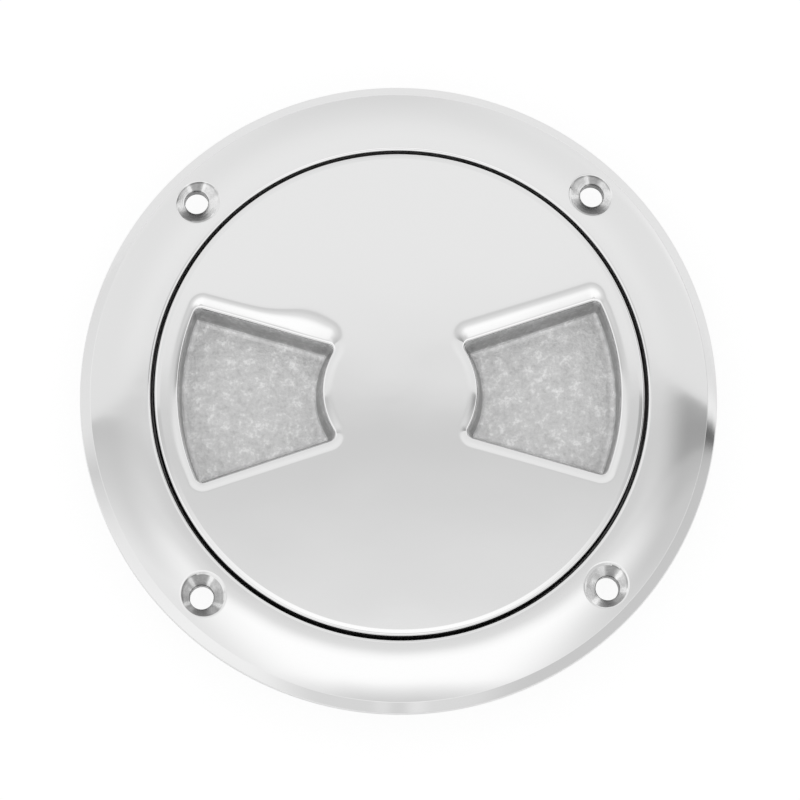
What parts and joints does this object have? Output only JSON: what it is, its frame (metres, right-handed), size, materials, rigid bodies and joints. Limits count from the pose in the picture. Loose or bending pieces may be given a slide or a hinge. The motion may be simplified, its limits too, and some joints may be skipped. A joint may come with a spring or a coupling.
{
  "type": "deck inspection plate",
  "caption": "Round polished deck inspection plate: a countersunk flange with a threaded collar and a screw-in cover with fan-shaped finger pockets.",
  "frame": {"origin": "centre of the screw circle, in the plane of the flange's underside, which lies on the deck", "axes": "+Z out of the deck along the axis of the thread, +X through the middle of one finger pocket, with the screw holes at 45 degrees to X and Y"},
  "size_m": [0.14, 0.14, 0.0217],
  "materials": {
    "polished_steel": "cast stainless steel, polished to a slightly wavy mirror; pocket walls and floors, collar and underside left as blasted casting, threads and countersinks turned",
    "seal_rubber": "black nitrile rubber, smooth and slightly dull"
  },
  "bodies": {
    "ring": {"deck_ring": "polished_steel"},
    "seal": {"o_ring": "seal_rubber"},
    "lid": {"cover": "polished_steel"}
  },
  "joints": [
    {"name": "cover_lift", "type": "slide", "parent": "ring", "child": "seal", "axis": [0, 0, 1], "range_m": [0, 0.01121]},
    {"name": "cover_turn", "type": "hinge", "parent": "seal", "child": "lid", "pos_m": [0, 0, 0], "axis": [0, 0, 1], "range_deg": [0, 1260]}
  ],
  "couplings": [
    {"joint": "cover_lift", "follows": "cover_turn", "m_per_rad": 0.0005093}
  ]
}
